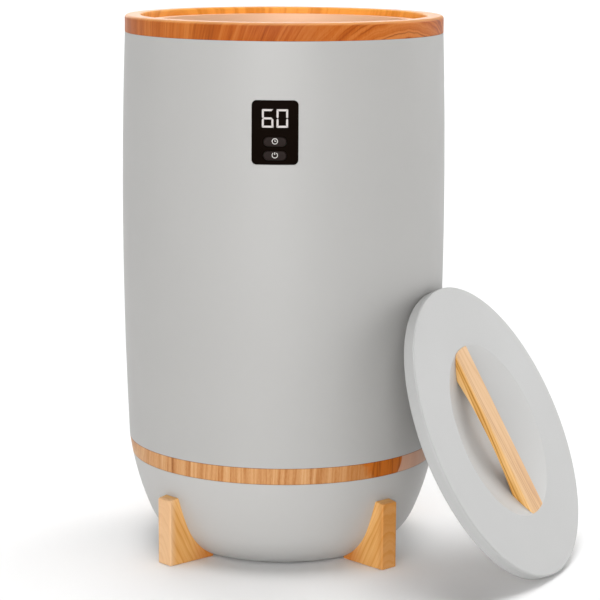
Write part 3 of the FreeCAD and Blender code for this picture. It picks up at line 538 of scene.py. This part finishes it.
def rim_figure(place, grown, layer):
    """The rim's own figure: calm at the left, rich at the front, and thin dark lines that draw the arches.

    The wood is painted paler on the top, as a painted highlight along its rounded edge, and inside the
    mouth, as painted light on the wall that the mouth keeps in shade.
    """
    x, y, z = place.parts()
    reach = x.maths("SQRT", x * x + y * y)
    turn = x.maths("ARCTAN2", x, 0 - y)
    calm = grown.mixed((1 - turn.step(-0.62, -0.12)) * 0.55, colour("AE6126"))
    front = turn.step(-0.55, -0.20) * (1 - turn.step(0.20, 0.55))
    rich = calm.mixed(front * 0.32, colour("8C3A02"))
    thin = layer.noise(1.9).step(0.56, 0.64)
    lined = rich.mixed(thin * (0.22 + 0.38 * turn.step(0.30, 0.75)), colour("6E2E08"))
    # Painted highlight along the top.
    upper = lined.mixed(z.step(*top_highlight_band) * 0.45, colour("F0B878"))
    vein = layer.noise(0.35).step(0.42, 0.66)
    # Painted light on the mouth's inner wall, over its own grain and veins.
    inner = lined.mixed(0.85, colour("F4A84A")).mixed(vein * 0.6, colour("C8771F"))
    return upper.mixed(1 - reach.step(*mouth_light_band), inner)


rim = turned("rim_ring", softened([
    (rim_bore, rim_low, bore_round), (rim_wide, rim_low, base_round), (rim_wide, rim_high, rim_round),
    (mouth, rim_high, mouth_round), (mouth, ledge, 0), (rim_bore, ledge, bore_round)]))
rim.data.materials.append(wood(
    "leaning_grain", heart=(-0.0338, 0.0386, 0.6593), axis=(0.2379, -0.0857, 0.9675), ring=0.0014,
    tones=("C27537", "B25E1F", "9A470E", "702C04"), patch=rim_figure, contrast=0.95, sheen=0.1, waver=0.7))
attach(rim, "drum")
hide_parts("top_rim_ring")
dress(zinc, "rim_screws")

# The pot: drawn from one sheet of aluminium, with a flat flange that hangs on the rim's ledge. The drawing
# leaves fine lines round it and a soft satin shine. Near the mouth its colour is warmed as a painted
# reflection of the wooden rim.
# Painted reflection: between these heights the pot's colour warms towards the rim's wood.
rim_reflection_heights = (0.462, 0.490)


def drawn_metal():
    """Aluminium with fine lines round it and, between two heights, a rise to a warm tone that is a painted
    reflection of the wooden rim.
    """
    finish, place = new_finish("drawn_aluminium")
    x, y, z = place.parts()
    around = x.maths("ARCTAN2", x, y)
    way = place.node("CombineXYZ", {}, {0: around * 0.12, 1: z})
    line, line_depth = way.noise(900.0, 3.0, 0.6), 0.000012
    silver = line.between(colour("DEDDDB"), colour("CFCECC"))
    close_finish(place, line, line_depth, {
        "Base Color": silver.mixed(z.step(*rim_reflection_heights) * 0.9, colour("FFC89E")),
        "Roughness": 0.56 + 0.14 * (line - 0.5), "Metallic": 0.18})
    return finish


dress(drawn_metal(), "inner_pot")

# Round the pot: a silicone heater sheet, a flat ring heater under its floor, a felt sleeve that keeps the
# heat in, and the thermostat and thermal fuse pressed against the floor.
dress(dull("heater_silicone", "B8683A", "A3582E", 0.6, 500.0), "pot_wall_heater", "pot_floor_heater")
felt = dull("needled_felt", "E4E2DA", "CFCDC4", 0.95, 1100.0, relief=0.0003)
dress(felt, "insulation_sleeve")
dress(black_moulding, "thermostat")
dress(zinc, "thermal_fuse")

# The power board in the bowl: a green board on four posts with its relay, transformer, capacitor and
# terminal block, and two silicone wires that rise to the heater.
dress(board_green, "power_board", "terminal_block")
dress(zinc, "power_board_screws")
dress(moulding("blue_case", "2A52A0", "234A94", 0.35), "power_relay")
dress(moulding("yellow_case", "E2BE4A", "D6B03C", 0.35), "mains_capacitor", "board_transformer")
dress(dull("red_silicone", "A8302A", "942721", 0.5, 900.0), "heater_leads")

# The cord gland at the rear of the bowl: a bored sleeve of black plastic with a tapered collar.
# A nut holds it from inside the bowl.
dress(black_moulding, "cord_gland", "gland_nut")

# The lid: a round moulding of the same plastic with a softly rounded edge and a round dish, leaning on the
# drum. An inner cover with a soft seal round it and a pad of felt inside is screwed in behind it.
lid_up = Vector((-0.404210, 0.179121, 0.896957))
lid_face = Vector((0.820322, -0.363517, 0.441506))
lid_middle = Vector((0.206126, -0.091342, 0.131815))
dish_edge = (0.0836, 0.0844)


def dish_painted_light(place, shade):
    """The dish is painted paler than the face round it, as painted light that lifts the shade in its
    hollow.
    """
    off = place.counted_from(lid_middle)
    reach = off.vector("LENGTH", off, out=1)
    return shade.mixed(1 - reach.step(*dish_edge), colour("BABAB9"))


# Painted light: the lid's grey is a touch paler than the shell's, and its dish paler still.
dress(moulding("lid_grey_moulding", "ABABAA", "A7A7A6", satin, patch=dish_painted_light), "lid_top")
dress(shell_grey, "lid_inner_cover")
dress(dull("grey_silicone", "A9A8A6", "9C9B99", 0.7, 700.0), "lid_seal")
dress(felt, "lid_foam")
dress(zinc, "lid_cover_screws")

# The lid's handle: a straight wooden bar, flat on top and arched underneath, let into the dish at both
# ends and screwed on from behind. Its grain runs along it.
handle_tilt = math.radians(6.8)
handle_side = lid_up.cross(lid_face)
handle_way = lid_up * math.cos(handle_tilt) - handle_side * math.sin(handle_tilt)
heart_depth, heart_shift, grain_lean = 0.034, 0.016, 0.03
handle_heart = lid_middle - lid_face * heart_depth + handle_side * heart_shift
# Painted light in part: the handle's top, between these heights above the lid's face, is mixed paler.
handle_top = (-0.0012, -0.0002)


def paler_top_and_light(place, grown, layer):
    """The handle's flat top is paler than its golden sides: partly its own paler wood and partly painted
    light on the face that looks up.
    """
    height = place.counted_from(lid_middle).along(lid_face)
    return grown.mixed(height.step(*handle_top) * 0.5, colour("C9A788"))


dress(wood("long_grain", heart=handle_heart, axis=handle_way + lid_face * grain_lean, ring=0.0017,
           tones=("E6BD86", "DDAE6E", "CB954B", "A66C2A"), patch=paler_top_and_light, contrast=0.95, sheen=0.15,
           even=0.3, waver=1.2), "lid_handle")
dress(zinc, "lid_handle_screws")

# The studio: a plain pale floor and four broad soft lights, from above, low from the front, from the right
# and from behind. A pale wall stands all round the horizon, and the ceiling over it is nearly dark.
floor_half = 40.0
floor_corners = [(x * floor_half, y * floor_half, 0) for x, y in ((-1, -1), (1, -1), (1, 1), (-1, 1))]
floor_mesh = bpy.data.meshes.new("floor")
floor_mesh.from_pydata(floor_corners, [], [(0, 1, 2, 3)])
floor = bpy.data.objects.new("floor", floor_mesh)
bpy.context.collection.objects.link(floor)
floor_finish, floor_place = new_finish("pale_floor")
floor_cloud, floor_depth = floor_place.noise(0.5), 0.00001
close_finish(floor_place, floor_cloud, floor_depth, {
    "Base Color": floor_cloud.between((0.92, 0.92, 0.92, 1), (0.90, 0.90, 0.90, 1)),
    "Roughness": 0.85, "Specular IOR Level": 0.1})
floor_mesh.materials.append(floor_finish)

# For each light: its strength, its spread in degrees, and the way towards it.
lights = {
    "top_light": (2.15, 40.0, (0.0, 0.0, 1.0)),
    "front_light": (2.92, 45.0, (-0.10, -0.985, 0.13)),
    "side_light": (1.05, 40.0, (0.75, 0.54, 0.37)),
    "rear_light": (1.2, 45.0, (-0.22, 0.90, 0.37)),
}
for name, (strength, spread, way) in lights.items():
    lamp = bpy.data.lights.new(name, "SUN")
    lamp.energy = strength
    lamp.angle = math.radians(spread)
    light = bpy.data.objects.new(name, lamp)
    light.rotation_euler = Vector(way).to_track_quat("Z", "Y").to_euler()
    bpy.context.collection.objects.link(light)

wall_glow, ceiling_loss, wall_top = 0.85, 0.80, (0.18, 0.28)
world = bpy.data.worlds.new("white_surround")
world.use_nodes = True
world.node_tree.nodes.clear()
sky = Shade(world.node_tree).node("TexCoord", {}, {}, "Generated")
walls = sky.node("Background", {}, {"Color": (1.0, 1.0, 1.0, 1.0),
                                    "Strength": wall_glow - ceiling_loss * sky.parts()[2].step(*wall_top)})
sky.node("OutputWorld", {}, {"Surface": walls})
bpy.context.scene.world = world
bpy.context.scene.view_settings.view_transform = "Standard"

# The camera: a long lens that stands a little to the right of the drum's front, about two metres away and
# above the rim's height, and looks down on the drum.
lens = bpy.data.cameras.new("photo_camera")
lens.sensor_fit = "HORIZONTAL"
lens.sensor_width = 36.0
lens.lens = 133.987
camera = bpy.data.objects.new("photo_camera", lens)
right = Vector((0.9989646, 0.0452362, 0.0048404))
up = Vector((-0.0128489, 0.1784700, 0.9838615))
back = Vector((0.0436423, -0.9829050, 0.1788664))
camera.matrix_world = Matrix((right, up, back)).transposed().to_4x4()
camera.location = (0.110049, -2.115227, 0.619795)
bpy.context.collection.objects.link(camera)
bpy.context.scene.camera = camera
